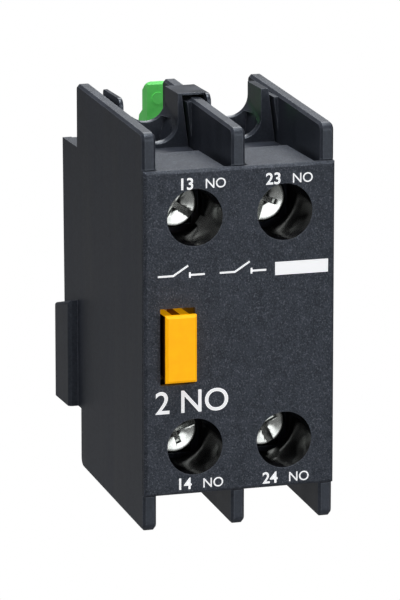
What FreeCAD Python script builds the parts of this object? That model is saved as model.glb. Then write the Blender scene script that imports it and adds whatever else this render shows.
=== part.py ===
import FreeCAD, Part
import math
import os

# Auxiliary contact block with two normally open poles.
# Frame: X to the right and Z up as seen from the front, Y from the front to the back.
# The origin is the middle of the seat, the plane at the back that rests on the switch.
# Depths named *_d are measured back from the front face of the cover.

V = FreeCAD.Vector

# Height of the face
face_height = 44.9

# Running and assembly clearances
gap_fine = 0.05
gap_slide = 0.25
gap_seam = 0.15

# Poles and driver holes
pole_pitch = 12.7
pole_side = 7.15
terminal_z = 15.85
driver_bore_r = 3.9
driver_tube_wall = 0.7
driver_tube_d = 9.1

# Front cover
plate_t = 0.95
plate_bevel = 0.4
shelf_t = 1.1
shelf_depth = 12.4
shelf_half_width = 4.7
shelf_shift = -0.3
shelf_cheek_t = 0.8
window_shift = -2.45
window_z = -1.75
window_half_width = 2.45
window_half_height = 5.3
clip_width = 3.0
clip_length = 6.5
clip_t = 0.9
clip_nose = 0.5
clip_nose_length = 1.4
clip_catch = 0.2
clip_z = 10.6

# Housing walls and fins
wall_t = 1.9
partition_t = 1.9
fin_front_d = 0.7
fin_top_rise = 5.05
fin_top_slope = 0.042
fin_bottom_drop = 5.15
fin_bottom_slope = 0.054
fin_front_round = 1.15
fin_rear_round = 0.9
fin_low_round = 1.5
fin_edge_bevel = 0.35
back_wall_t = 1.4
skirt_reach = 7.0
skirt_top_z = 19.85
skirt_bottom_z = 17.45
skirt_wall_t = 1.3
skirt_lean = 0.45
skirt_lean_z = -3.6
skirt_foot = 1.0
guide_rib_out = 1.4
guide_rib_lap = 0.3
guide_rib_top_z = -2.1
guide_rib_fall = 1.85
guide_rib_round = 0.55
hook_root = 2.0
hook_out = 1.3
hook_t = 1.6
hook_lip = 1.1
hook_width = 3.2
hook_x = 7.2

# Screws, clamp cages and terminal bars
screw_head_d = 9.5
screw_head_r = 3.3
screw_head_t = 1.9
screw_head_bevel = 0.35
screw_length = 10.05
screw_shank_r = 1.75
screw_slot_w = 0.9
screw_slot_depth = 1.1
screw_cross_r = 2.1
wire_gap = 4.45
cage_half_width = 3.15
cage_t = 0.9
cage_head_t = 1.2
cage_height = 6.2
cage_round = 0.7
bar_t = 1.0
bar_half_width = 2.1
bar_top_z = 19.15
bar_end_z = 6.9
bar_chamfer = 0.6

# Terminal bases behind the shelves
cell_front_gap = 0.2
cell_outer_gap = 0.85
cell_inner_gap = 1.0
cell_stop_t = 1.2
cell_rear_room = 2.4
cell_back_gap = 1.4
cell_floor_z = 11.1
cell_roof_z = 21.5
cell_roof_t = 1.5
cell_floor_t = 1.2
roof_flange_t = 1.0
web_t = 1.2
web_half_width = 4.4
web_low_z = 12.0
web_top_z = 19.6
wire_half_width = 2.2
guide_lip_t = 0.85
guide_back_t = 0.75
notch_shift = 0.48
notch_inset = 0.33
notch_r = 2.9
notch_z = 25.0
notch_climb_deg = 20.0
funnel_margin = 0.15
pillar_inset = 1.0
pillar_slit = 0.35
wedge_lead = 0.9
strip_t = 0.3
rail_t = 0.55
rail_lead = 1.6
rail_tail = 0.5
rail_front_round = 1.2
rail_rear_round = 0.5

# Contacts
tip_half = 1.2
tip_t = 0.7
tip_bevel = 0.15
tip_z = 8.4
bridge_t = 0.6
bridge_half_width = 1.9
bridge_half_length = 9.9
bridge_rise = 0.5
bridge_ramp = 1.2
bridge_flat = 0.2

# Contact carriage
carriage_stroke = 3.0
frame_half_width = 3.4
frame_half_height = 3.5
frame_cheek_t = 0.9
frame_front_d = 6.9
frame_front_t = 1.2
beam_t = 1.5
stem_half_width = 2.2
stem_half_height = 2.6
stem_head_inset = 2.2
stem_head_t = 1.6
stem_head_half_width = 4.4
flange_r = 4.7
flange_t = 1.2
return_spring_length = 6.6
peg_r = 1.0
peg_length = 1.0
peg_drop = 3.9
peg_shift = 0.3

# Indicator button
button_proud = 1.8
button_side_gap = 0.225
button_end_gap = 0.65
button_plate_t = 0.9
button_inset = 0.4
button_bevel = 0.35
button_notch_w = 1.2
button_notch_depth = 1.1

# Springs
contact_spring_r = 1.45
contact_wire_r = 0.17
contact_turns = 5
return_spring_r = 4.0
return_wire_r = 0.26
return_turns = 3.5
latch_spring_r = 1.05
latch_wire_r = 0.13
latch_turns = 4
coil_steps = 10

# Release latch
latch_x = -0.38
latch_width = 3.1
latch_inset = 3.0
latch_t = 2.4
latch_top_z = 27.6
latch_top_fall = 1.5
latch_top_ease = 0.4
latch_corner = 0.7
latch_pivot_lead = 0.2
latch_pivot_z = 13.6
latch_eye_r = 1.6
latch_foot_t = 1.0
latch_nose_out = 1.3
latch_nose_z = 22.3
latch_nose_h = 1.9
latch_boss_r = 0.83
latch_boss_h = 0.2
latch_boss_drop = 2.33
latch_turn_deg = 12.0
latch_spring_z = 17.4
pin_r = 0.75
pin_end = 0.5
lug_t = 1.4
lug_gap = 0.15
lug_r = 1.9

# Widths and heights that follow from the sizes above
half_width = pole_pitch / 2 + pole_side
half_face = face_height / 2
fin_top_z = half_face + fin_top_rise
fin_bottom_z = half_face + fin_bottom_drop
pole_xs = (-pole_pitch / 2, pole_pitch / 2)
bay_edge = partition_t / 2
bay_outer = half_width - wall_t
window_x = pole_xs[0] + window_shift
button_half_width = window_half_width - button_side_gap
button_half_height = window_half_height - button_end_gap
pin_half_length = latch_width / 2 + lug_gap + lug_t + pin_end

# Depths, one behind the other from the screw heads to the seat
bar_front_d = screw_head_d + screw_length + gap_fine
bar_rear_d = bar_front_d + bar_t
cage_open_front_d = bar_front_d - gap_fine - cage_head_t
cage_inner_d = bar_rear_d + wire_gap
cage_rear_d = cage_inner_d + gap_fine + cage_t
cell_front_d = shelf_depth + cell_front_gap
cell_rear_d = cage_rear_d + gap_slide + cell_stop_t + cell_rear_room
back_front_d = cell_rear_d + cell_back_gap
fin_rear_d = back_front_d + back_wall_t
depth = fin_rear_d + skirt_reach
guide_front_d = bar_rear_d - guide_lip_t
guide_rear_d = cage_inner_d + guide_back_t
bridge_rear_d = bar_front_d - 2 * tip_t - carriage_stroke - gap_fine
bridge_front_d = bridge_rear_d - bridge_t
beam_d = bridge_rear_d - bridge_rise
flange_d = back_front_d - return_spring_length - flange_t
stem_rear_d = depth - stem_head_inset
latch_front_d = depth - latch_inset
latch_rear_d = latch_front_d + latch_t
latch_pivot_d = latch_front_d - latch_pivot_lead
latch_nose_d = depth + latch_nose_out


def fin_top_at(d):
    """Height of the upper fins' top edge at a depth."""
    return fin_top_z + fin_top_slope * d


def fin_low_at(d):
    """Distance of the lower fins' bottom edge below the middle at a depth."""
    return fin_bottom_z - fin_bottom_slope * d


def y_at(d):
    """Y of a point d behind the front face."""
    return d - depth


def block(x0, x1, d0, d1, z0, z1):
    """Plain rectangular block between two depths."""
    return Part.makeBox(x1 - x0, d1 - d0, z1 - z0, V(x0, y_at(d0), z0))


def disc(r, x, z, d0, d1):
    """Cylinder along Y between two depths."""
    return Part.makeCylinder(r, d1 - d0, V(x, y_at(d0), z), V(0, 1, 0))


def rod_x(r, d, z, x0, x1):
    """Cylinder along X."""
    return Part.makeCylinder(r, x1 - x0, V(x0, y_at(d), z), V(1, 0, 0))


def side_plate(points, x0, x1):
    """Closed outline in depth and height, extruded along X."""
    corners = [V(x0, y_at(d), z) for d, z in points]
    face = Part.Face(Part.makePolygon(corners + corners[:1]))
    return face.extrude(V(x1 - x0, 0, 0))


def front_plate(points, d0, d1):
    """Closed outline in width and height, extruded along Y."""
    corners = [V(x, y_at(d0), z) for x, z in points]
    face = Part.Face(Part.makePolygon(corners + corners[:1]))
    return face.extrude(V(0, d1 - d0, 0))


def round_edges(shape, radius, wanted):
    """Fillet the edges that the test picks."""
    edges = [edge for edge in shape.Edges if wanted(edge)]
    return shape.makeFillet(radius, edges)


def bevel_edges(shape, size, wanted):
    """Chamfer the edges that the test picks."""
    edges = [edge for edge in shape.Edges if wanted(edge)]
    return shape.makeChamfer(size, edges)


def along(edge, axis):
    """True for a straight edge that runs along the axis 0, 1 or 2."""
    ends = edge.BoundBox
    lengths = (ends.XLength, ends.YLength, ends.ZLength)
    return lengths[axis] > 1e-6 and sum(lengths) - lengths[axis] < 1e-6


def middle(edge):
    """Midpoint of an edge's box."""
    return edge.BoundBox.Center


def near(edge, d, z):
    """True for an edge along X that passes a depth and a height."""
    spot = middle(edge)
    return along(edge, 0) and abs(spot.y - y_at(d)) < 1e-3 and abs(spot.z - z) < 1e-3


def on_front(shape):
    """Test for the edges of a shape's front face."""
    front = shape.BoundBox.YMin
    return lambda edge: abs(middle(edge).y - front) < 1e-6


def fuse(first, others):
    """One solid from touching solids, with seams removed."""
    return first.multiFuse(others).removeSplitter()


def mirror_z(shape):
    """Copy below the middle plane."""
    return shape.mirror(V(0, 0, 0), V(0, 0, 1))


def save(shape, node):
    """Write one node as a STEP file."""
    shape.exportStep("parts/" + node + ".step")


def coil(r, wire_r, turns, x, z, d0, d1):
    """Compression spring along Y whose wire stays between two depths."""
    steps = round(turns * coil_steps)
    rise = d1 - d0 - 2 * wire_r
    points = []
    for i in range(steps + 1):
        angle = 2 * math.pi * i / coil_steps
        points.append(V(x + r * math.cos(angle), y_at(d0 + wire_r) + rise * i / steps,
                        z + r * math.sin(angle)))
    rim = []
    for i in range(5):
        angle = math.pi * i / 2
        rim.append(points[0] + V(wire_r * math.cos(angle), wire_r * math.sin(angle), 0))
    return Part.Wire(Part.makePolygon(points)).makePipeShell([Part.makePolygon(rim)], True, False, 1)


# Front cover

def driver_tube(x, z):
    """Round sleeve that leads the driver to its screw."""
    return disc(driver_bore_r + driver_tube_wall, x, z, plate_t / 2, driver_tube_d)


def cover_pocket(pole_x):
    """Upper shelf of one pole with its two cheeks."""
    x0 = pole_x + shelf_shift - shelf_half_width
    x1 = pole_x + shelf_shift + shelf_half_width
    d0 = plate_t / 2
    shelf = block(x0, x1, d0, shelf_depth, half_face - shelf_t, half_face)
    cheek = block(x0, x0 + shelf_cheek_t, d0, driver_tube_d, terminal_z, half_face)
    other = block(x1 - shelf_cheek_t, x1, d0, driver_tube_d, terminal_z, half_face)
    return [shelf, cheek, other]


def cover_clip(side, z):
    """Snap tongue that catches in a pocket of the side wall."""
    outer = bay_outer - gap_fine
    inner = outer - clip_t
    nose_d = clip_length - clip_nose_length
    tongue = [(inner, plate_t / 2), (outer, plate_t / 2), (outer, nose_d - clip_catch),
              (outer + clip_nose, nose_d), (outer, clip_length), (inner, clip_length)]
    corners = [V(side * x, y_at(d), z - clip_width / 2) for x, d in tongue]
    face = Part.Face(Part.makePolygon(corners + corners[:1]))
    return face.extrude(V(0, 0, clip_width))


def front_cover():
    """Face plate with its driver tubes, shelves, clips and window."""
    plate = block(-half_width, half_width, 0, plate_t, -half_face, half_face)
    plate = bevel_edges(plate, plate_bevel, on_front(plate))
    pieces = []
    for pole_x in pole_xs:
        upper = cover_pocket(pole_x)
        pieces += upper + [mirror_z(piece) for piece in upper]
        pieces += [driver_tube(pole_x, z) for z in (terminal_z, -terminal_z)]
    pieces += [cover_clip(side, z) for side in (-1, 1) for z in (clip_z, -clip_z)]
    cover = fuse(plate, pieces)
    cuts = [disc(driver_bore_r, pole_x, z, -plate_t, driver_tube_d + plate_t)
            for pole_x in pole_xs for z in (terminal_z, -terminal_z)]
    cuts.append(block(window_x - window_half_width, window_x + window_half_width,
                      -plate_t, 2 * plate_t,
                      window_z - window_half_height, window_z + window_half_height))
    return cover.cut(Part.makeCompound(cuts))


# Housing

def wall_with_fins(x0, x1):
    """Upright wall whose rounded ends stand out above and below as fins."""
    seam_d = plate_t + gap_seam
    step_z = half_face + gap_seam
    outline = [(seam_d, -step_z), (fin_front_d, -step_z), (fin_front_d, -fin_low_at(fin_front_d)),
               (back_front_d, -fin_low_at(back_front_d)), (back_front_d, -skirt_bottom_z),
               (fin_rear_d, -skirt_bottom_z), (fin_rear_d, fin_top_at(fin_rear_d)),
               (fin_front_d, fin_top_at(fin_front_d)), (fin_front_d, step_z), (seam_d, step_z)]
    plate = side_plate(outline, x0, x1)
    corners = [(fin_rear_round, fin_rear_d, fin_top_at(fin_rear_d)),
               (fin_front_round, fin_front_d, fin_top_at(fin_front_d)),
               (fin_front_round, fin_front_d, -fin_low_at(fin_front_d)),
               (fin_low_round, back_front_d, -fin_low_at(back_front_d))]
    for radius, d, z in corners:
        plate = round_edges(plate, radius, lambda edge, d=d, z=z: near(edge, d, z))
    def ridge(edge):
        return not along(edge, 0) and abs(middle(edge).z) > step_z and edge.BoundBox.YLength > wall_t * 2
    return bevel_edges(plate, fin_edge_bevel, ridge)


def guide_wedge(face_x, top_z):
    """Rib on a fin that narrows downwards, beside the tapered wire guide."""
    foot_x = face_x - gap_seam
    fall = (guide_top_z() - cell_roof_z) / pillar_inset
    slit_x = foot_x + pillar_slit
    low_z = cell_roof_z + (slit_x - face_x) * fall
    lean_x = slit_x - (top_z - cell_roof_z) / fall
    root = face_x + partition_t / 4
    return front_plate([(face_x, low_z), (root, low_z), (root, top_z), (lean_x, top_z)],
                       guide_front_d - wedge_lead, guide_rear_d)


def skirt_side(x0, x1):
    """Side of the rear skirt, whose edge leans forward towards the guide rib."""
    d0 = back_front_d + back_wall_t / 2
    outline = [(d0, -skirt_bottom_z), (depth, -skirt_bottom_z),
               (depth - skirt_lean, skirt_foot - skirt_bottom_z), (depth - skirt_lean, skirt_lean_z),
               (depth, skirt_top_z), (d0, skirt_top_z)]
    return side_plate(outline, x0, x1)


def guide_rib(side):
    """Rail on the side that runs in the switch's guide, lower towards the back."""
    d0 = fin_rear_d - guide_rib_lap
    x_in = half_width - skirt_wall_t / 2
    x_out = half_width + guide_rib_out
    outline = [(d0, -skirt_bottom_z), (depth, -skirt_bottom_z),
               (depth, guide_rib_top_z - guide_rib_fall), (d0, guide_rib_top_z)]
    rib = side_plate(outline, side * x_in, side * x_out)
    def outer(edge):
        spot = middle(edge)
        on_side = abs(spot.x - side * x_out) < 1e-6
        return on_side and spot.z > -skirt_bottom_z + 1e-3
    return round_edges(rib, guide_rib_round, outer)


def rear_hook(x):
    """Fixed hook at the foot of the skirt."""
    z0 = -skirt_bottom_z
    tip = depth + hook_out
    bend = tip - hook_out / 2
    z1 = z0 + hook_t
    outline = [(depth - hook_root, z0), (tip, z0), (tip, z1 + hook_lip), (bend, z1 + hook_lip),
               (bend, z1), (depth - hook_root, z1)]
    return side_plate(outline, x - hook_width / 2, x + hook_width / 2)


def latch_lug(x):
    """Ear that carries one end of the latch pin."""
    ear = rod_x(lug_r, latch_pivot_d, latch_pivot_z, x - lug_t / 2, x + lug_t / 2)
    web = block(x - lug_t / 2, x + lug_t / 2, fin_rear_d - back_wall_t / 2, latch_pivot_d,
                latch_pivot_z - lug_r, latch_pivot_z + lug_r)
    return fuse(ear, [web])


def housing_openings():
    """Everything cut out of the housing in one go."""
    side = bay_edge + gap_seam
    window_half = frame_half_height + 2 * gap_slide
    flange_half = flange_r + 2 * gap_slide
    cuts = [block(-side, side, beam_d - 2 * gap_slide, back_front_d, -window_half, window_half)]
    cuts.append(block(-side, side, flange_d - 2 * gap_slide, back_front_d, -flange_half, flange_half))
    cuts.append(block(-stem_half_width - gap_slide, stem_half_width + gap_slide,
                      back_front_d - gap_slide, fin_rear_d + gap_slide,
                      -stem_half_height - gap_slide, stem_half_height + gap_slide))
    for z0, z1 in ((web_low_z, web_top_z), (-web_top_z, -web_low_z)):
        cuts.append(block(-side, side, cell_rear_d - web_t - gap_seam, back_front_d,
                          z0 - gap_seam, z1 + gap_seam))
    slot = latch_width / 2 + gap_slide
    swing = (skirt_top_z - latch_pivot_z) * math.tan(math.radians(latch_turn_deg))
    cuts.append(block(latch_x - slot, latch_x + slot, latch_front_d - swing - gap_slide,
                      depth + gap_slide, skirt_top_z - 2 * skirt_wall_t, skirt_top_z + gap_slide))
    pocket = bay_outer + clip_nose + gap_seam
    half = clip_width / 2 + gap_slide
    for z in (clip_z, -clip_z):
        cuts.append(block(-pocket, pocket, clip_length - clip_nose_length - clip_catch - 2 * gap_slide,
                          clip_length + gap_slide, z - half, z + half))
    cuts.append(rod_x(pin_r, latch_pivot_d, latch_pivot_z, -bay_outer, bay_outer))
    return cuts


def housing():
    """Side walls, partition, fins, back wall and skirt in one moulding."""
    left = wall_with_fins(-half_width, -bay_outer)
    right = left.mirror(V(0, 0, 0), V(1, 0, 0))
    inside = half_width - skirt_wall_t / 2
    back = block(-inside, inside, back_front_d, fin_rear_d, -skirt_bottom_z, skirt_top_z)
    skirt_d = back_front_d + back_wall_t / 2
    rim_d = depth - skirt_lean
    top = block(-inside, inside, skirt_d, rim_d, skirt_top_z - skirt_wall_t, skirt_top_z)
    floor = block(-inside, inside, skirt_d, rim_d, -skirt_bottom_z, skirt_wall_t - skirt_bottom_z)
    pieces = [right, wall_with_fins(-bay_edge, bay_edge), back, top, floor]
    pieces.append(skirt_side(-half_width, skirt_wall_t - half_width))
    pieces.append(skirt_side(half_width - skirt_wall_t, half_width))
    pieces += [guide_rib(side) for side in (-1, 1)]
    pieces += [rear_hook(x) for x in (-hook_x, hook_x)]
    lug_offset = latch_width / 2 + lug_t / 2 + lug_gap
    pieces += [latch_lug(latch_x + side * lug_offset) for side in (-1, 1)]
    top_z = fin_top_at(guide_front_d - wedge_lead) - fin_edge_bevel
    low_z = fin_low_at(guide_rear_d) - fin_edge_bevel
    for face_x in (-bay_edge, bay_outer):
        pieces += [guide_wedge(face_x, top_z), mirror_z(guide_wedge(face_x, low_z))]
    return fuse(left, pieces).cut(Part.makeCompound(housing_openings()))


# Terminal bases

def guide_top_z():
    """Top of the wire guides, whose strip just clears the middle fin."""
    return fin_top_at(guide_rear_d) + gap_seam + strip_t


def notch_cutter(x):
    """U of the wire guide, which climbs towards the back."""
    over = gap_slide
    y = y_at(guide_front_d - over)
    climb = math.tan(math.radians(notch_climb_deg))
    z = notch_z - over * climb
    top = guide_top_z() + strip_t
    reach = guide_rear_d - guide_front_d + 2 * over
    left = V(x - notch_r, y, z)
    right = V(x + notch_r, y, z)
    bow = Part.Arc(left, V(x, y, z - notch_r), right).toShape()
    walls = Part.makePolygon([right, V(x + notch_r, y, top), V(x - notch_r, y, top), left])
    face = Part.Face(Part.Wire([bow] + walls.Edges))
    return face.extrude(V(0, reach, reach * climb))


def wire_guide(x, left, right, top_z):
    """Low wall and tall tapered pillar on the two sides of the wire notch."""
    foot_z = cell_roof_z - roof_flange_t / 2
    low = block(left, x, guide_front_d, guide_rear_d, foot_z, notch_z)
    pillar = front_plate([(x, foot_z), (right, foot_z), (right, cell_roof_z),
                          (right - pillar_inset, top_z), (x, top_z)], guide_front_d, guide_rear_d)
    return [low, pillar]


def rail(left, top_z):
    """Upright rail beside the fin at the left of a bay, rounded off at its ends."""
    d0 = guide_front_d - rail_lead
    d1 = guide_rear_d + rail_tail
    foot_z = cell_roof_z - roof_flange_t / 2
    plate = side_plate([(d0 - gap_slide, foot_z), (d1, foot_z), (d1, top_z), (d0, top_z)],
                       left, left + rail_t)
    plate = round_edges(plate, rail_front_round, lambda edge: near(edge, d0, top_z))
    return round_edges(plate, rail_rear_round, lambda edge: near(edge, d1, top_z))


def wire_funnel(pole_x, notch_x):
    """Mouth that leads a wire from the notch down into the clamp."""
    low_z = cell_roof_z - cell_roof_t - gap_fine
    half = notch_r - funnel_margin
    def mouth(x, half_x, grow, z):
        ya = y_at(bar_rear_d)
        yb = y_at(cage_inner_d + grow)
        return Part.makePolygon([V(x - half_x, ya, z), V(x + half_x, ya, z), V(x + half_x, yb, z),
                                 V(x - half_x, yb, z), V(x - half_x, ya, z)])
    low = mouth(pole_x, wire_half_width, 0, low_z)
    high = mouth(notch_x, half, gap_slide, notch_z)
    return Part.makeLoft([low, high], True, True)


def terminal_cell(pole_x):
    """Chamber of one pole that holds the clamp cage and the terminal bar."""
    pocket = cage_half_width + gap_slide
    bar_side = bar_half_width + gap_fine
    room_rear_d = cage_rear_d + gap_slide
    inner_top = cell_roof_z - cell_roof_t
    inner_low = cell_floor_z + cell_floor_t
    edges = sorted((math.copysign(bay_outer - cell_outer_gap, pole_x),
                    math.copysign(bay_edge + cell_inner_gap, pole_x)))
    body = block(edges[0], edges[1], cell_front_d, cell_rear_d, cell_floor_z, cell_roof_z)
    cage_room = block(pole_x - pocket, pole_x + pocket, cell_front_d - gap_slide, room_rear_d,
                      inner_low, inner_top)
    bar_slot = block(pole_x - bar_side, pole_x + bar_side, bar_front_d - gap_fine,
                     bar_rear_d + gap_fine, cell_floor_z - gap_slide, bar_top_z + gap_fine)
    rear_room = block(pole_x - pocket, pole_x + pocket, room_rear_d + cell_stop_t,
                      cell_rear_d + gap_slide, inner_low, inner_top)
    return body.cut(Part.makeCompound([cage_room, bar_slot, rear_room]))


def terminal_base(guide_top, with_strip):
    """Both cells with their wire guides, joined by a web behind the partition."""
    web = block(-web_half_width, web_half_width, cell_rear_d - web_t, cell_rear_d,
                web_low_z, web_top_z)
    pieces = []
    cutters = []
    bays = ((-bay_outer, -bay_edge), (bay_edge, bay_outer))
    for bay, pole_x in zip(bays, pole_xs):
        x = pole_x + notch_shift - math.copysign(notch_inset, pole_x)
        left = bay[0] + gap_seam
        right = bay[1] - gap_seam
        pieces.append(terminal_cell(pole_x))
        pieces.append(block(left, right, cell_front_d, guide_rear_d + rail_tail,
                            cell_roof_z - roof_flange_t, cell_roof_z))
        pieces += wire_guide(x, left, right, guide_top)
        pieces.append(rail(left, guide_top))
        cutters += [notch_cutter(x), wire_funnel(pole_x, x)]
    if with_strip:
        x0 = -bay_edge - gap_seam - pillar_inset - gap_fine
        pieces.append(block(x0, bay_edge + gap_seam + rail_t, guide_front_d, guide_rear_d,
                            guide_top - strip_t, guide_top))
    return fuse(web, pieces).cut(Part.makeCompound(cutters))


# Screws, cages and terminal bars

def terminal_screw(x, z, turn_deg):
    """Cheese-head screw with a slot and a cross recess."""
    d0 = screw_head_d
    d1 = d0 + screw_head_t
    head = disc(screw_head_r, 0, 0, d0, d1)
    head = bevel_edges(head, screw_head_bevel, on_front(head))
    shank = disc(screw_shank_r, 0, 0, d1 - gap_fine, d0 + screw_length)
    half = screw_slot_w / 2
    reach = screw_head_r + gap_slide
    slot = block(-reach, reach, d0 - gap_slide, d0 + screw_slot_depth, -half, half)
    cross = block(-half, half, d0 - gap_slide, d0 + screw_slot_depth, -screw_cross_r, screw_cross_r)
    screw = fuse(head, [shank]).cut(Part.makeCompound([slot, cross]))
    screw.rotate(V(0, 0, 0), V(0, 1, 0), turn_deg)
    screw.translate(V(x, 0, z))
    return screw


def clamp_cage(x, z):
    """Bent ring that the screw draws up against the bar."""
    d0 = cage_open_front_d
    low = z - cage_height / 2
    high = z + cage_height / 2
    ring = block(x - cage_half_width, x + cage_half_width, d0, cage_rear_d, low, high)
    ring = round_edges(ring, cage_round, lambda edge: along(edge, 2))
    inner = cage_half_width - cage_t
    room = block(x - inner, x + inner, d0 + cage_head_t, cage_rear_d - cage_t,
                 low - gap_slide, high + gap_slide)
    bore = disc(screw_shank_r + gap_fine, x, z, d0 - gap_slide, d0 + cage_head_t + gap_slide)
    return ring.cut(Part.makeCompound([room, bore]))


def fixed_contact(x, side):
    """Terminal bar from the clamp to the contact tip."""
    z0, z1 = sorted((side * bar_end_z, side * bar_top_z))
    bar = block(x - bar_half_width, x + bar_half_width, bar_front_d, bar_rear_d, z0, z1)
    return bevel_edges(bar, bar_chamfer,
                       lambda edge: along(edge, 1) and abs(middle(edge).z) < bar_end_z + gap_fine)


def contact_tip(x, z, d0, facing):
    """Square silver tip with a bevelled face, to the back (1) or the front (-1)."""
    tip = block(x - tip_half, x + tip_half, 0, tip_t, z - tip_half, z + tip_half)
    tip = bevel_edges(tip, tip_bevel, on_front(tip))
    if facing > 0:
        tip.rotate(V(x, y_at(tip_t / 2), z), V(0, 0, 1), 180)
    tip.translate(V(0, d0 if facing > 0 else d0 - tip_t, 0))
    return tip


def contact_bridge(x):
    """Moving strip, dished between its two tips."""
    d0 = bridge_front_d
    mid = frame_half_height + bridge_flat
    front = [(d0 - bridge_rise, -mid), (d0, -mid - bridge_ramp), (d0, -bridge_half_length)]
    outline = [(d + bridge_t, z) for d, z in reversed(front)]
    outline += [(d + bridge_t, -z) for d, z in front]
    outline += [(d, -z) for d, z in reversed(front)]
    outline += front
    return side_plate(outline, x - bridge_half_width, x + bridge_half_width)


# Carriage, indicator and latch

def contact_frame(x):
    """Window of the carriage that holds one moving strip and its spring."""
    outer = block(x - frame_half_width, x + frame_half_width, frame_front_d, beam_d + beam_t,
                  -frame_half_height, frame_half_height)
    inner = frame_half_width - frame_cheek_t
    room = block(x - inner, x + inner, frame_front_d + frame_front_t, beam_d,
                 -frame_half_height - gap_slide, frame_half_height + gap_slide)
    return outer.cut(room)


def carriage():
    """Slide with both contact frames, its stem, spring flange and coupling head."""
    beam = block(pole_xs[0], pole_xs[1], beam_d, beam_d + beam_t,
                 -frame_half_height, frame_half_height)
    stem = block(-stem_half_width, stem_half_width, beam_d + beam_t / 2, stem_rear_d,
                 -stem_half_height, stem_half_height)
    flange = disc(flange_r, 0, 0, flange_d, flange_d + flange_t)
    head = block(-stem_head_half_width, stem_head_half_width, stem_rear_d - stem_head_t, stem_rear_d,
                 -stem_half_height, stem_half_height)
    foot = block(window_x - button_half_width + button_inset, pole_xs[0],
                 frame_front_d, frame_front_d + frame_front_t,
                 window_z - button_half_height + button_inset, frame_half_height)
    body = fuse(beam, [stem, flange, head, foot] + [contact_frame(x) for x in pole_xs])
    peg_hole = disc(peg_r + gap_fine, window_x + peg_shift, window_z - peg_drop,
                    frame_front_d - gap_slide, frame_front_d + frame_front_t + gap_slide)
    return body.cut(peg_hole)


def indicator():
    """Orange button with a thin front plate and a narrower body."""
    d0 = -button_proud
    plate = block(window_x - button_half_width, window_x + button_half_width,
                  d0, d0 + button_plate_t, window_z - button_half_height,
                  window_z + button_half_height)
    plate = bevel_edges(plate, button_bevel, on_front(plate))
    half_w = button_half_width - button_inset
    half_h = button_half_height - button_inset
    body = block(window_x - half_w, window_x + half_w, d0 + button_plate_t - gap_fine,
                 frame_front_d, window_z - half_h, window_z + half_h)
    notch = block(window_x - button_notch_w / 2, window_x + button_notch_w / 2,
                  d0 + button_plate_t, frame_front_d + gap_slide,
                  window_z + half_h - button_notch_depth, window_z + half_h + gap_slide)
    peg = disc(peg_r, window_x + peg_shift, window_z - peg_drop, frame_front_d - gap_fine,
               frame_front_d + peg_length)
    return fuse(plate, [body.cut(notch), peg])


def latch():
    """Green lever with a catch nose and an eye for its pin."""
    x0 = latch_x - latch_width / 2
    x1 = latch_x + latch_width / 2
    front = latch_front_d
    back = latch_rear_d
    top = latch_top_z
    ease = latch_top_ease
    nose_low = latch_nose_z - latch_nose_h
    outline = [(front, latch_pivot_z), (front, top - ease), (front + ease, top),
               (back, top - latch_top_fall), (back, latch_nose_z + latch_nose_h / 2),
               (latch_nose_d - ease, latch_nose_z), (latch_nose_d, latch_nose_z - latch_nose_h / 2),
               (latch_nose_d - ease, nose_low), (back, nose_low),
               (front + latch_pivot_lead + latch_foot_t, latch_pivot_z)]
    lever = side_plate(outline, x0, x1)
    shape = front_plate([(x0, latch_pivot_z), (x1, latch_pivot_z), (x1, top), (x0, top)],
                        front - gap_slide, latch_nose_d + gap_slide)
    shape = round_edges(shape, latch_corner,
                        lambda edge: along(edge, 1) and middle(edge).z > top - gap_fine)
    lever = lever.common(shape)
    eye = rod_x(latch_eye_r, latch_pivot_d, latch_pivot_z, x0, x1)
    boss = disc(latch_boss_r, latch_x, top - latch_boss_drop, front - latch_boss_h,
                front + latch_boss_h)
    lever = fuse(lever, [eye, boss])
    return lever.cut(rod_x(pin_r + gap_fine, latch_pivot_d, latch_pivot_z,
                           x0 - gap_slide, x1 + gap_slide))


def build():
    """Write every node."""
    os.makedirs("parts", exist_ok=True)
    save(front_cover(), "front_cover")
    save(housing(), "housing")
    save(terminal_base(guide_top_z(), True), "upper_terminal_base")
    save(mirror_z(terminal_base(fin_low_at(guide_rear_d), False)), "lower_terminal_base")
    marks = (("13", 0, 1, 25), ("23", 1, 1, -38), ("14", 0, -1, 62), ("24", 1, -1, 8))
    for mark, pole, side, turn_deg in marks:
        x = pole_xs[pole]
        z = side * terminal_z
        save(terminal_screw(x, z, turn_deg), "terminal_screw_" + mark)
        save(clamp_cage(x, z), "clamp_cage_" + mark)
        save(fixed_contact(x, side), "fixed_contact_" + mark)
        save(contact_tip(x, side * tip_z, bar_front_d, -1), "fixed_tip_" + mark)
    for name, x in zip(("left", "right"), pole_xs):
        save(contact_bridge(x), "contact_bridge_" + name)
        tips = [contact_tip(x, z, bridge_rear_d, 1) for z in (-tip_z, tip_z)]
        save(Part.makeCompound(tips), "bridge_tips_" + name)
        spring = coil(contact_spring_r, contact_wire_r, contact_turns, x, 0,
                      frame_front_d + frame_front_t, bridge_front_d - bridge_rise)
        save(spring, "contact_spring_" + name)
    save(carriage(), "carriage")
    save(indicator(), "indicator")
    save(coil(return_spring_r, return_wire_r, return_turns, 0, 0,
              flange_d + flange_t, back_front_d), "return_spring")
    save(latch(), "latch")
    save(rod_x(pin_r, latch_pivot_d, latch_pivot_z, latch_x - pin_half_length,
               latch_x + pin_half_length), "latch_pin")
    save(coil(latch_spring_r, latch_wire_r, latch_turns, latch_x, latch_spring_z,
              fin_rear_d, latch_front_d), "latch_spring")


build()
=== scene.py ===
import bpy
import bmesh
import math
from mathutils import Matrix, Vector


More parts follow.
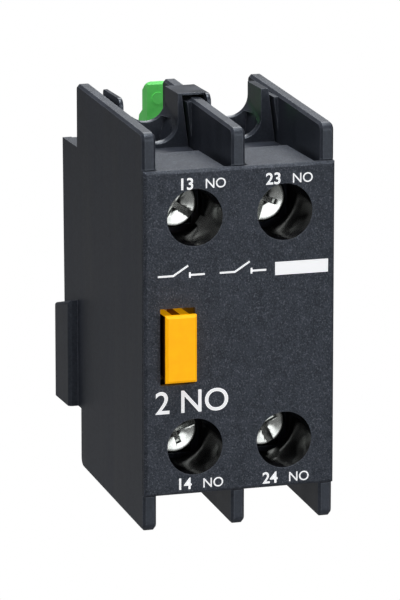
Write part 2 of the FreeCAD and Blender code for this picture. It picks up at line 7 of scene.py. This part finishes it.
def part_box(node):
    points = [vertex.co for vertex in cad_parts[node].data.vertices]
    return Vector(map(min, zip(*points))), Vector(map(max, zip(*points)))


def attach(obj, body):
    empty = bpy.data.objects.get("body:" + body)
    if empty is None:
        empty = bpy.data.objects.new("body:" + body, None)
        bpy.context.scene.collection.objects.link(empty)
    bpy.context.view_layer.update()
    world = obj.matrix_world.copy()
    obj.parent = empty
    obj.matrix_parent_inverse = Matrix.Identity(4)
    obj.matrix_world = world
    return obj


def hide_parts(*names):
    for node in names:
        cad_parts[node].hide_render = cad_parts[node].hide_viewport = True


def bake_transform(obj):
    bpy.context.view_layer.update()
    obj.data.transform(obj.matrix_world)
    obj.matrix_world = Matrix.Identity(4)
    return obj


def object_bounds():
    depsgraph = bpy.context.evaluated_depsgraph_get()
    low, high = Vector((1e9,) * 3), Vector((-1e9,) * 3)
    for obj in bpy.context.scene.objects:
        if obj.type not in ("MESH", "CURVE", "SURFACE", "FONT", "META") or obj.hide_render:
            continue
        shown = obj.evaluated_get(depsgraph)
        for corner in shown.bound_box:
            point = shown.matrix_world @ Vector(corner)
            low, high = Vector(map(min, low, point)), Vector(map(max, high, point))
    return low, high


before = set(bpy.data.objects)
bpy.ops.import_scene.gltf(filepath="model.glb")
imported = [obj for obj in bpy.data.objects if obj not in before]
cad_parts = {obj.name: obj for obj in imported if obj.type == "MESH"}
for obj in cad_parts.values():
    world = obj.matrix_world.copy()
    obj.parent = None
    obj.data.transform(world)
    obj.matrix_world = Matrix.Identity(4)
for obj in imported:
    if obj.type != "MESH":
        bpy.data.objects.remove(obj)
cadBox = [list(corner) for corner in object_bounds()]
mm = 0.001
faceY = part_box("front_cover")[0].y  # front face of the cover
print("frame loaded")


# A socket in shader maths: sums, differences and products on it add Math nodes
class Wire:
    def __init__(self, graph, socket):
        self.graph = graph
        self.socket = socket

    def math(self, operation, other):
        return self.graph.node("ShaderNodeMath", {"operation": operation}, {0: self, 1: other})

    def turned(self, operation, other):
        return self.graph.node("ShaderNodeMath", {"operation": operation}, {0: other, 1: self})

    def __add__(self, other):
        return self.math("ADD", other)

    def __radd__(self, other):
        return self.math("ADD", other)

    def __sub__(self, other):
        return self.math("SUBTRACT", other)

    def __rsub__(self, other):
        return self.turned("SUBTRACT", other)

    def __mul__(self, other):
        return self.math("MULTIPLY", other)

    def __rmul__(self, other):
        return self.math("MULTIPLY", other)


# One material's node tree with a Principled shader at its end
class Graph:
    def __init__(self, name):
        self.material = bpy.data.materials.new(name)
        self.material.use_nodes = True
        self.tree = self.material.node_tree
        self.shader = self.tree.nodes["Principled BSDF"]

    def node(self, kind, settings, inputs, output=0):
        made = self.tree.nodes.new(kind)
        for key, value in settings.items():
            setattr(made, key, value)
        for key, value in inputs.items():
            self.feed(made.inputs[key], value)
        return Wire(self, made.outputs[output])

    def feed(self, socket, value):
        if isinstance(value, Wire):
            self.tree.links.new(value.socket, socket)
        elif isinstance(value, tuple) and len(value) == 3 and socket.type == "RGBA":
            socket.default_value = (*value, 1.0)
        else:
            socket.default_value = value

    def place(self, scale=(1, 1, 1), turn=(0, 0, 0)):
        coords = self.node("ShaderNodeTexCoord", {}, {}, "Object")
        return self.node("ShaderNodeMapping", {}, {"Vector": coords, "Rotation": turn, "Scale": scale})

    def noise(self, scale, detail=2.0, roughness=0.5, place=None):
        place = place or self.place()
        return self.node("ShaderNodeTexNoise", {}, {"Vector": place, "Scale": scale,
                                                    "Detail": detail, "Roughness": roughness})

    def between(self, value, low, high):
        return self.node("ShaderNodeMapRange", {}, {"Value": value, "From Min": low, "From Max": high})

    def mix(self, factor, first, second):
        return self.node("ShaderNodeMix", {"data_type": "RGBA"}, {"Factor": factor, 6: first, 7: second}, 2)

    # how far the surface looks along a direction, from -1 to 1
    def along(self, direction):
        flat = self.node("ShaderNodeNewGeometry", {}, {}, "Normal")
        settings = {"operation": "DOT_PRODUCT"}
        return self.node("ShaderNodeVectorMath", settings, {0: flat, 1: direction}, "Value")

    # 1 where the surface turns within the given radius, 0 on flat stretches
    def corners(self, radius):
        soft = self.node("ShaderNodeBevel", {"samples": 6}, {"Radius": radius})
        return self.between(self.along(soft), 0.995, 0.90)

    def bump(self, height, strength, distance):
        return self.node("ShaderNodeBump", {}, {"Height": height, "Strength": strength, "Distance": distance})

    def finish(self, **sockets):
        for key, value in sockets.items():
            self.feed(self.shader.inputs[key.replace("_", " ")], value)
        return self.material


# Charcoal moulded plastic of the cover, the walls, the inner mouldings and the driver holes
casePlastic = {
    "deep": (0.014, 0.017, 0.024),
    "dark": (0.016, 0.019, 0.026),
    "light": (0.040, 0.045, 0.060),
    "speck": (0.17, 0.185, 0.22),
    "sheen": (0.78, 0.88, 1.0),
    "wornCorner": 0.22 * mm,
    "grainSize": 0.27 * mm,
    "faceRoughness": 0.52,
    "wallRoughness": 0.42,
    "baseRoughness": 0.30,
    "boreRoughness": 0.13,
    "boreDark": (0.006, 0.006, 0.007),
    "boreLight": (0.014, 0.014, 0.016),
}


def facePlastic():
    graph = Graph("coverPlastic")
    grain = graph.noise(1 / casePlastic["grainSize"], 3.0, 0.65)
    coarse = graph.noise(1 / (5 * casePlastic["grainSize"]), 2.0)
    patches = graph.noise(140, 2.0)
    colour = graph.mix(graph.between(grain * 0.7 + coarse * 0.3, 0.42, 0.58),
                       casePlastic["deep"], casePlastic["light"])
    specks = graph.between(graph.noise(1.4 / casePlastic["grainSize"], 1.0), 0.56, 0.72)
    colour = graph.mix(specks * 0.5, colour, casePlastic["speck"])
    colour = graph.mix(graph.corners(casePlastic["wornCorner"]) * grain * 0.9, colour, casePlastic["speck"])
    rough = casePlastic["faceRoughness"] + (patches - 0.5) * 0.12 + (grain - 0.5) * 0.2
    normal = graph.bump(grain * 0.7 + coarse * 0.3, 1.0, 0.22 * mm)
    graph.finish(Specular_Tint=casePlastic["sheen"])
    return graph.finish(Base_Color=colour, Roughness=rough, Normal=normal)


def borePlastic():
    graph = Graph("borePlastic")
    broad = graph.noise(420, 2.0)
    fine = graph.noise(5200, 2.0)
    colour = graph.mix(graph.between(broad, 0.35, 0.65), casePlastic["boreDark"], casePlastic["boreLight"])
    rough = casePlastic["boreRoughness"] + (broad - 0.5) * 0.16
    normal = graph.bump(fine * 0.3 + broad, 0.2, 0.03 * mm)
    return graph.finish(Base_Color=colour, Roughness=rough, Normal=normal)


def wallPlastic():
    graph = Graph("wallPlastic")
    grain = graph.noise(1 / (1.3 * casePlastic["grainSize"]), 3.0, 0.6)
    streaks = graph.noise(260, 3.0, 0.6, graph.place(scale=(1, 1, 0.12)))
    scuffs = graph.noise(1500, 2.0, 0.5, graph.place(scale=(1, 1, 0.06)))
    scuffMask = graph.between(scuffs, 0.66, 0.78) * graph.between(streaks, 0.45, 0.65)
    colour = graph.mix(graph.between(grain * 0.5 + streaks * 0.5, 0.38, 0.62),
                       casePlastic["dark"], casePlastic["light"])
    colour = graph.mix(scuffMask * 0.35, colour, casePlastic["speck"])
    colour = graph.mix(graph.corners(casePlastic["wornCorner"]) * grain, colour, casePlastic["speck"])
    graph.finish(Specular_Tint=casePlastic["sheen"])
    rough = casePlastic["wallRoughness"] + (streaks - 0.5) * 0.25 + scuffMask * 0.15
    normal = graph.bump(grain, 0.30, 0.02 * mm)
    return graph.finish(Base_Color=colour, Roughness=rough, Normal=normal)


def basePlastic():
    graph = Graph("basePlastic")
    grain = graph.noise(1 / casePlastic["grainSize"], 2.0, 0.5)
    broad = graph.noise(300, 2.0)
    colour = graph.mix(graph.between(grain * 0.4 + broad * 0.6, 0.35, 0.65),
                       casePlastic["dark"], casePlastic["light"])
    colour = graph.mix(graph.corners(casePlastic["wornCorner"]) * grain, colour, casePlastic["speck"])
    graph.finish(Specular_Tint=casePlastic["sheen"])
    rough = casePlastic["baseRoughness"] + (broad - 0.5) * 0.2
    normal = graph.bump(grain, 0.3, 0.02 * mm)
    return graph.finish(Base_Color=colour, Roughness=rough, Normal=normal)


# Bright mouldings: dark and light tint, roughness, coat and the strength of a painted glow, an emission that
# brightens them beyond what the lamps give
colouredPlastic = {
    "orange": ((1.0, 0.43, 0.001), (1.0, 0.46, 0.001), 0.50, 0.0, 0.38),
    "green": ((0.105, 0.60, 0.115), (0.13, 0.66, 0.14), 0.38, 0.2, 0.24),
    "cream": ((0.52, 0.49, 0.41), (0.60, 0.57, 0.49), 0.45, 0.0, 0.0),
    "shade": (0.10, 0.034, 0.003),
    "coatRoughness": 0.2,
    "shine": 0.2,
}


def tintedPlastic(tint):
    graph = Graph(tint + "Plastic")
    dark, light, roughness, coat, glow = colouredPlastic[tint]
    cloud = graph.noise(700, 3.0)
    grain = graph.noise(6000, 2.0)
    colour = graph.mix(graph.between(cloud, 0.35, 0.65), dark, light)
    normal = graph.bump(grain * 0.6 + cloud * 0.4, 0.2, 0.015 * mm)
    rough = roughness + (cloud - 0.5) * 0.15
    paintedGlow = colour
    if tint == "orange":  # the side towards the window's edge lies in its shadow
        side = graph.between(graph.along((-1, 0, 0)), 0.75, 0.95)
        paintedGlow = graph.mix(side, colour, (0.0, 0.0, 0.0))
        colour = graph.mix(side, colour, colouredPlastic["shade"])
    # painted glow: the moulding emits its own colour, and none on the side painted in shadow
    graph.finish(Emission_Color=paintedGlow, Emission_Strength=glow)
    graph.finish(Coat_Roughness=colouredPlastic["coatRoughness"], Specular_IOR_Level=colouredPlastic["shine"])
    return graph.finish(Base_Color=colour, Roughness=rough, Coat_Weight=coat, Normal=normal)


# Plated and bare metals: dark and light tint, roughness
metals = {
    "zinc": ((0.38, 0.40, 0.39), (0.60, 0.62, 0.60), 0.18),
    "brass": ((0.58, 0.40, 0.15), (0.78, 0.58, 0.26), 0.30),
    "silver": ((0.78, 0.77, 0.74), (0.90, 0.89, 0.86), 0.28),
    "wire": ((0.38, 0.39, 0.41), (0.55, 0.56, 0.58), 0.32),
}


def metal(kind):
    graph = Graph(kind + "Metal")
    dark, light, roughness = metals[kind]
    cloud = graph.noise(900, 3.0, 0.6)
    grain = graph.noise(7000, 2.0)
    scratches = graph.noise(3000, 2.0, 0.5, graph.place(scale=(1, 0.2, 0.08), turn=(0, 0.5, 0)))
    colour = graph.mix(graph.between(cloud * 0.7 + scratches * 0.3, 0.35, 0.65), dark, light)
    rough = roughness + (cloud - 0.5) * 0.15 + (scratches - 0.5) * 0.1
    normal = graph.bump(grain * 0.3 + cloud * 0.7, 0.06, 0.01 * mm)
    return graph.finish(Base_Color=colour, Metallic=1.0, Roughness=rough, Normal=normal)


# White print; its glow is a painted glow, an emission that brightens the ink beyond what the lamps give
whiteInk = {"fresh": (0.90, 0.91, 0.93), "worn": (0.35, 0.36, 0.37), "glow": 0.33, "roughness": 0.55}


def printInk():
    graph = Graph("whiteInk")
    pores = graph.noise(9000, 2.0)
    wear = graph.noise(1100, 3.0)
    colour = graph.mix(graph.between(pores, 0.62, 0.75) * 0.35, whiteInk["fresh"], whiteInk["worn"])
    rough = whiteInk["roughness"] + (wear - 0.5) * 0.2
    # painted glow: the ink emits its own colour
    graph.finish(Emission_Color=colour, Emission_Strength=whiteInk["glow"])
    return graph.finish(Base_Color=colour, Roughness=rough, Normal=graph.bump(pores, 0.3, 0.01 * mm))


looks = {
    "face": facePlastic(),
    "bore": borePlastic(),
    "wall": wallPlastic(),
    "base": basePlastic(),
    "orange": tintedPlastic("orange"),
    "green": tintedPlastic("green"),
    "cream": tintedPlastic("cream"),
    "zinc": metal("zinc"),
    "brass": metal("brass"),
    "silver": metal("silver"),
    "wire": metal("wire"),
    "ink": printInk(),
}
print("materials made")


# Which finish each node of the frame wears
finishOf = {
    "housing": "wall", "front_cover": "face", "upper_terminal_base": "base",
    "lower_terminal_base": "base", "carriage": "cream", "indicator": "orange", "latch": "green",
    "latch_pin": "zinc", "return_spring": "wire", "latch_spring": "wire",
    "contact_spring_left": "wire", "contact_spring_right": "wire",
    "contact_bridge_left": "brass", "contact_bridge_right": "brass",
    "bridge_tips_left": "silver", "bridge_tips_right": "silver",
}
# Middles of the driver holes and screws, by terminal mark
terminals = {"13": (-6.35, 15.85), "23": (6.35, 15.85), "14": (-6.35, -15.85), "24": (6.35, -15.85)}
for mark in terminals:
    finishOf["terminal_screw_" + mark] = "zinc"
    finishOf["clamp_cage_" + mark] = "zinc"
    finishOf["fixed_contact_" + mark] = "brass"
    finishOf["fixed_tip_" + mark] = "silver"

for node, look in finishOf.items():
    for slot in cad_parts[node].material_slots:
        slot.material = looks[look]


def meshPiece(name, bm, wanted):
    mesh = bpy.data.meshes.new(name)
    bm.to_mesh(mesh)
    bm.free()
    piece = bpy.data.objects.new(name, mesh)
    bpy.context.scene.collection.objects.link(piece)
    for look in wanted:
        mesh.materials.append(looks[look])
    return piece


def newPiece(name, bm, wanted, body):
    piece = meshPiece(name, bm, wanted)
    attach(piece, body)
    return piece


# Mouldings with the small edge rounds that a mould leaves on every corner
mouldings = {
    "front_cover": {"name": "coverShell", "body": "case", "round": 0.16, "steps": 3},
    "housing": {"name": "housingShell", "body": "case", "round": 0.14, "steps": 3},
    "upper_terminal_base": {"name": "upperGuides", "body": "case", "round": 0.10, "steps": 2},
    "lower_terminal_base": {"name": "lowerGuides", "body": "case", "round": 0.10, "steps": 2},
    "indicator": {"name": "travelButton", "body": "carriage", "round": 0.12, "steps": 3},
    "latch": {"name": "releaseLever", "body": "latch", "round": 0.14, "steps": 3},
}


# Driver holes, whose walls come out of a polished core
bores = {"reach": 3.98, "start": 0.15}


def markBores(bm):
    for face in bm.faces:
        spot = face.calc_center_median() / mm
        near = [mark for mark, (x, z) in terminals.items()
                if math.hypot(spot.x - x, spot.z - z) < bores["reach"]]
        if near and spot.y > faceY / mm + bores["start"]:
            face.material_index = 1


def roundEdges(bm, sharpest, offset, steps):
    sharp = [edge for edge in bm.edges
             if len(edge.link_faces) == 2 and edge.calc_face_angle(0.0) > math.radians(sharpest)]
    bmesh.ops.bevel(bm, geom=sharp, offset=offset, offset_type="OFFSET", affect="EDGES",
                    segments=steps, profile=0.5, material=-1, clamp_overlap=True)
    for face in bm.faces:
        face.smooth = True


def roundedCopy(node, values):
    bm = bmesh.new()
    bm.from_mesh(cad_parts[node].data)
    bmesh.ops.remove_doubles(bm, verts=bm.verts, dist=0.002 * mm)
    bmesh.ops.dissolve_limit(bm, angle_limit=math.radians(0.6), verts=bm.verts, edges=bm.edges)
    roundEdges(bm, 32, values["round"] * mm, values["steps"])
    wanted = [finishOf[node]]
    if node == "front_cover":
        markBores(bm)
        wanted.append("bore")
    piece = newPiece(values["name"], bm, wanted, values["body"])
    weighted = piece.modifiers.new("weightedNormals", "WEIGHTED_NORMAL")
    weighted.keep_sharp = True
    weighted.weight = 60
    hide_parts(node)


for node, values in mouldings.items():
    roundedCopy(node, values)
print("mouldings rounded")


# Terminal screws with a dished head, a slot and a cross
screws = {
    "turns": {"13": 35, "23": 110, "14": -20, "24": 65},
    # radius and depth behind the face, from the middle of the head to the end of the shank
    "outline": ((0.0, 10.35), (0.35, 10.30), (0.95, 9.92), (1.15, 9.84), (2.0, 9.66), (2.7, 9.54),
                (2.95, 9.50), (3.1, 9.53), (3.24, 9.64), (3.30, 9.82), (3.30, 11.28), (3.18, 11.40),
                (1.75, 11.40), (1.75, 19.0), (1.3, 19.52), (0.0, 19.52)),
    "slot": {"half": (3.6, 0.46), "foot": 10.55},
    "cross": {"half": (0.36, 2.05), "foot": 10.45},
    "cutFrom": 9.0,
    "edge": 0.07,
    "around": 56,
}


def turnedBlank():
    bm = bmesh.new()
    rim = [bm.verts.new((radius, depth, 0)) for radius, depth in screws["outline"]]
    edges = [bm.edges.new(pair) for pair in zip(rim, rim[1:])]
    bmesh.ops.spin(bm, geom=rim + edges, cent=(0, 0, 0), axis=(0, 1, 0), angle=2 * math.pi,
                   steps=screws["around"], use_merge=True)
    bmesh.ops.remove_doubles(bm, verts=bm.verts, dist=0.001)
    bmesh.ops.recalc_face_normals(bm, faces=bm.faces)
    return meshPiece("blank", bm, [])


def cutter(values):
    halfX, halfZ = values["half"]
    halfY = (values["foot"] - screws["cutFrom"]) / 2
    bm = bmesh.new()
    bmesh.ops.create_cube(bm, size=2.0)
    place = Matrix.Translation((0, screws["cutFrom"] + halfY, 0))
    bmesh.ops.transform(bm, matrix=place @ Matrix.Diagonal((halfX, halfY, halfZ, 1)), verts=bm.verts)
    return meshPiece("cutter", bm, [])


def cutScrew():
    blank = turnedBlank()
    cutters = [cutter(screws["slot"]), cutter(screws["cross"])]
    for tool in cutters:
        cut = blank.modifiers.new("cut", "BOOLEAN")
        cut.operation = "DIFFERENCE"
        cut.solver = "EXACT"
        cut.object = tool
    bpy.context.view_layer.update()
    mesh = bpy.data.meshes.new_from_object(blank.evaluated_get(bpy.context.evaluated_depsgraph_get()))
    for helper in [blank] + cutters:
        bpy.data.objects.remove(helper)
    return mesh


def screwCopies():
    shape = cutScrew()
    for mark, (x, z) in terminals.items():
        bm = bmesh.new()
        bm.from_mesh(shape)
        roundEdges(bm, 50, screws["edge"], 2)
        turn = Matrix.Rotation(math.radians(screws["turns"][mark]), 4, "Y")
        place = Matrix.Translation((x * mm, faceY, z * mm)) @ turn @ Matrix.Diagonal((mm, mm, mm, 1))
        bmesh.ops.transform(bm, matrix=place, verts=bm.verts)
        piece = newPiece("screw" + mark, bm, ["zinc"], "screw_" + mark)
        weighted = piece.modifiers.new("weightedNormals", "WEIGHTED_NORMAL")
        weighted.keep_sharp = True
        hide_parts("terminal_screw_" + mark)


screwCopies()
print("screws cut")


# Coil springs, pressed together in the real part, wound inside the box of each spring in the frame; the table
# lists the two bodies that hold their ends
springs = {
    "return_spring": {"name": "returnSpring", "wire": 0.26, "turns": 3.5,
                      "front": "carriage", "rear": "case"},
    "contact_spring_left": {"name": "contactSpringLeft", "wire": 0.17, "turns": 5,
                            "front": "carriage", "rear": "bridge_left"},
    "contact_spring_right": {"name": "contactSpringRight", "wire": 0.17, "turns": 5,
                             "front": "carriage", "rear": "bridge_right"},
    "latch_spring": {"name": "latchSpring", "wire": 0.13, "turns": 4,
                     "front": "case", "rear": "latch"},
}
coilDetail = {"stepsPerTurn": 28, "wireSides": 8}


def coilSpring(node, values):
    low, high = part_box(node)
    middle = (low + high) / 2
    wire = values["wire"] * mm
    radius = (high.x - low.x) / 2 - wire
    steps = round(values["turns"] * coilDetail["stepsPerTurn"])
    climb = (high.y - low.y - 2 * wire) / steps
    bm = bmesh.new()
    bmesh.ops.create_circle(bm, cap_ends=False, radius=wire, segments=coilDetail["wireSides"])
    bmesh.ops.translate(bm, vec=(middle.x + radius, low.y + wire, middle.z), verts=bm.verts)
    bmesh.ops.spin(bm, geom=bm.verts[:] + bm.edges[:], cent=middle, axis=(0, -1, 0), dvec=(0, climb, 0),
                   angle=2 * math.pi * steps / coilDetail["stepsPerTurn"], steps=steps)
    bmesh.ops.holes_fill(bm, edges=[edge for edge in bm.edges if edge.is_boundary])
    bmesh.ops.recalc_face_normals(bm, faces=bm.faces)
    for face in bm.faces:
        face.smooth = len(face.verts) == 4
    piece = meshPiece(values["name"], bm, ["wire"])
    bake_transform(piece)
    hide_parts(node)


for node, values in springs.items():
    coilSpring(node, values)
print("springs wound")


# White print on the face: terminal marks, contact signs and a blank marking field
printing = {
    "lift": 0.012,
    "typeSize": 1.37,  # type size for each unit of capital height
    "numbers": {"13": (-8.72, 19.78), "23": (3.58, 19.78), "14": (-9.05, -21.68), "24": (3.22, -21.80)},
    "numberHeight": 1.62,
    "numberWeight": 0.045,
    "kind": "NO",
    "kindShift": (3.72, 0.02),
    "kindHeight": 1.38,
    "kindWeight": 0.01,
    "count": "2 NO",
    "countPlace": (-12.1, -10.95),
    "countHeight": 3.25,
    "countWeight": 0.03,
    "signs": ((-8.3, 8.05), (0.4, 8.05)),
    # a normally open contact: two leads, a lifted blade and its stop
    "signLines": (((-3.3, 0), (-1.1, 0)), ((1.1, 0), (3.3, 0)),
                  ((-1.15, 0), (0.95, 1.3)), ((1.2, -0.4), (1.2, 0.4))),
    "lineWidth": 0.27,
    "bar": (4.95, 12.5, 8.11),
    "barHeight": 1.82,
}


def inkText(bm, words, height, weight, x, z):
    curve = bpy.data.curves.new("inkText", "FONT")
    curve.body = words
    curve.size = height * printing["typeSize"] * mm
    curve.offset = weight * mm
    curve.resolution_u = 6
    holder = bpy.data.objects.new("inkText", curve)
    bpy.context.scene.collection.objects.link(holder)
    bpy.context.view_layer.update()
    mesh = bpy.data.meshes.new_from_object(holder.evaluated_get(bpy.context.evaluated_depsgraph_get()))
    bpy.data.objects.remove(holder)
    place = Matrix.Translation((x * mm, faceY - printing["lift"] * mm, z * mm))
    mesh.transform(place @ Matrix.Rotation(math.radians(90), 4, "X"))
    bm.from_mesh(mesh)


def inkLine(bm, start, end, width):
    run = Vector((end[0] - start[0], 0, end[1] - start[1]))
    middle = ((start[0] + end[0]) / 2, faceY / mm - printing["lift"], (start[1] + end[1]) / 2)
    made = bmesh.ops.create_grid(bm, x_segments=1, y_segments=1, size=0.5)
    sizes = Matrix.Diagonal((run.length * mm, width * mm, 1, 1))
    turn = Matrix.Rotation(-math.atan2(run.z, run.x), 4, "Y") @ Matrix.Rotation(math.radians(90), 4, "X")
    place = Matrix.Translation(Vector(middle) * mm)
    bmesh.ops.transform(bm, matrix=place @ turn @ sizes, verts=made["verts"])


def facePrint():
    bm = bmesh.new()
    kindX, kindZ = printing["kindShift"]
    for number, (x, z) in printing["numbers"].items():
        inkText(bm, number, printing["numberHeight"], printing["numberWeight"], x, z)
        inkText(bm, printing["kind"], printing["kindHeight"], printing["kindWeight"], x + kindX, z + kindZ)
    inkText(bm, printing["count"], printing["countHeight"], printing["countWeight"], *printing["countPlace"])
    for x, z in printing["signs"]:
        for (x0, z0), (x1, z1) in printing["signLines"]:
            inkLine(bm, (x + x0, z + z0), (x + x1, z + z1), printing["lineWidth"])
    left, right, height = printing["bar"]
    inkLine(bm, (left, height), (right, height), printing["barHeight"])
    newPiece("facePrint", bm, ["ink"], "case")


facePrint()
print("print placed")


# Camera at the angle of the photograph
lens = {
    "azimuth": -17.5,
    "elevation": 13.06,
    "distance": 660.0,
    "target": (-0.929, -24.6, 0.841),
    "focalPixels": 4786.5,
    "longSidePixels": 600,
    "sensor": 36.0,
}


def placeCamera():
    data = bpy.data.cameras.new("photoCamera")
    camera = bpy.data.objects.new("photoCamera", data)
    bpy.context.scene.collection.objects.link(camera)
    data.sensor_width = lens["sensor"]
    data.lens = lens["focalPixels"] / lens["longSidePixels"] * lens["sensor"]
    data.clip_start = 0.01
    turn = math.radians(lens["azimuth"])
    lift = math.radians(lens["elevation"])
    back = Vector((math.sin(turn) * math.cos(lift), -math.cos(turn) * math.cos(lift), math.sin(lift)))
    target = Vector(lens["target"]) * mm
    camera.location = target + back * lens["distance"] * mm
    camera.rotation_mode = "QUATERNION"
    camera.rotation_quaternion = (-back).to_track_quat("-Z", "Y")
    bpy.context.scene.camera = camera


placeCamera()


# Pale floor and soft studio light
studio = {
    "floorDrop": 60.0,
    "floorSize": 3.0,
    "lamps": (
        {"name": "topLamp", "from": (-0.05, -0.10, 0.80), "size": 0.6, "watts": 6.8},
        {"name": "backLamp", "from": (0.20, 0.50, 0.60), "size": 0.5, "watts": 3.0},
        {"name": "leftLamp", "from": (-0.7, -0.35, 0.25), "size": 0.5, "watts": 0.35},
        {"name": "frontLamp", "from": (0.22, -0.80, 0.0), "size": 0.86, "watts": 4.4},
    ),
    "skyStrength": 0.14,
    "floorDark": (0.18, 0.18, 0.18),
    "floorLight": (0.21, 0.21, 0.21),
    "white": (1.0, 1.0, 1.0),
}


# White to the camera, grey to every other ray, and clear from below
def floorPaint():
    graph = Graph("paleFloor")
    cloud = graph.noise(3.0, 2.0)
    colour = graph.mix(graph.between(cloud, 0.3, 0.7), studio["floorDark"], studio["floorLight"])
    graph.finish(Base_Color=colour, Roughness=0.8)
    painted = Wire(graph, graph.shader.outputs[0])
    glow = graph.node("ShaderNodeEmission", {}, {"Color": studio["white"], "Strength": 1.0})
    seen = graph.node("ShaderNodeLightPath", {}, {}, "Is Camera Ray")
    above = graph.node("ShaderNodeMixShader", {}, {0: seen, 1: painted, 2: glow})
    behind = graph.node("ShaderNodeNewGeometry", {}, {}, "Backfacing")
    clear = graph.node("ShaderNodeBsdfTransparent", {}, {})
    surface = graph.node("ShaderNodeMixShader", {}, {0: behind, 1: above, 2: clear})
    graph.feed(graph.tree.nodes["Material Output"].inputs["Surface"], surface)
    return graph.material


def makeFloor():
    bm = bmesh.new()
    bmesh.ops.create_grid(bm, x_segments=1, y_segments=1, size=studio["floorSize"])
    mesh = bpy.data.meshes.new("floor")
    bm.to_mesh(mesh)
    bm.free()
    mesh.materials.append(floorPaint())
    floor = bpy.data.objects.new("floor", mesh)
    floor.location.z = cadBox[0][2] - studio["floorDrop"] * mm
    bpy.context.scene.collection.objects.link(floor)


def makeLamp(values):
    data = bpy.data.lights.new(values["name"], "AREA")
    data.shape = "DISK"
    data.size = values["size"]
    data.energy = values["watts"]
    lamp = bpy.data.objects.new(values["name"], data)
    lamp.location = Vector(values["from"])
    lamp.rotation_mode = "QUATERNION"
    lamp.rotation_quaternion = (-lamp.location).to_track_quat("-Z", "Y")
    bpy.context.scene.collection.objects.link(lamp)


# Dim light all round, and a white background to the camera
def makeSky():
    world = bpy.data.worlds.new("studioSky")
    bpy.context.scene.world = world
    world.use_nodes = True
    tree = world.node_tree
    dim = tree.nodes["Background"]
    dim.inputs["Color"].default_value = (*studio["white"], 1)
    dim.inputs["Strength"].default_value = studio["skyStrength"]
    white = tree.nodes.new("ShaderNodeBackground")
    white.inputs["Color"].default_value = (*studio["white"], 1)
    seen = tree.nodes.new("ShaderNodeLightPath")
    either = tree.nodes.new("ShaderNodeMixShader")
    tree.links.new(seen.outputs["Is Camera Ray"], either.inputs[0])
    tree.links.new(dim.outputs[0], either.inputs[1])
    tree.links.new(white.outputs[0], either.inputs[2])
    tree.links.new(either.outputs[0], tree.nodes["World Output"].inputs["Surface"])


makeFloor()
for values in studio["lamps"]:
    makeLamp(values)
makeSky()
bpy.context.scene.view_settings.view_transform = "Standard"
print("studio set")
